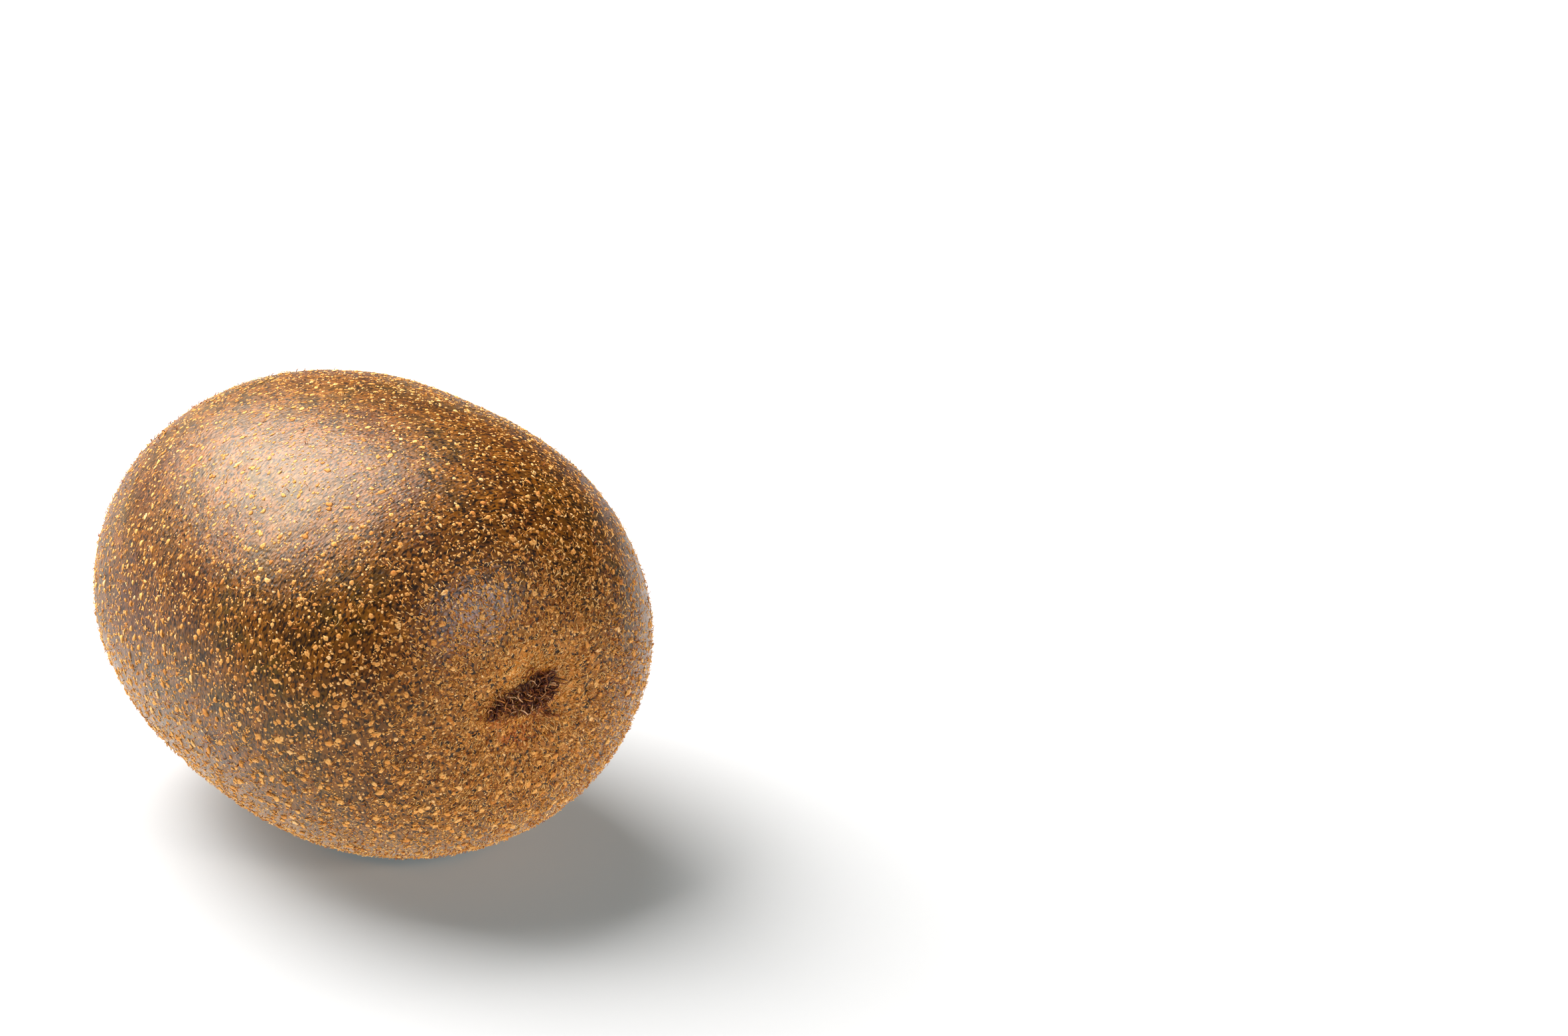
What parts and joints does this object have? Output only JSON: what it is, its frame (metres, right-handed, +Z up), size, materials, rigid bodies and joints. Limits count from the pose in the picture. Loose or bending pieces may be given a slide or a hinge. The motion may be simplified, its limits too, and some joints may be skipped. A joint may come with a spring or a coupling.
{
  "type": "golden kiwi fruit",
  "caption": "Whole golden kiwi fruit lying on its side: a blunt oval with a dried blossom tuft in a shallow pit at one end and a stalk scar at the other.",
  "frame": {"origin": "on the surface that the fruit rests on, under the middle of its box", "axes": "+X along the fruit towards the blossom tuft, +Z up, Y across its broad side"},
  "size_m": [0.0654, 0.0522, 0.0475],
  "materials": {
    "skin": "thin olive-brown peel with corky orange specks and short tan hairs",
    "cork": "dull raised corky specks and dried style stubs",
    "hair": "short curled dry hairs"
  },
  "bodies": {
    "root": {"fruit": "skin"}
  },
  "joints": []
}
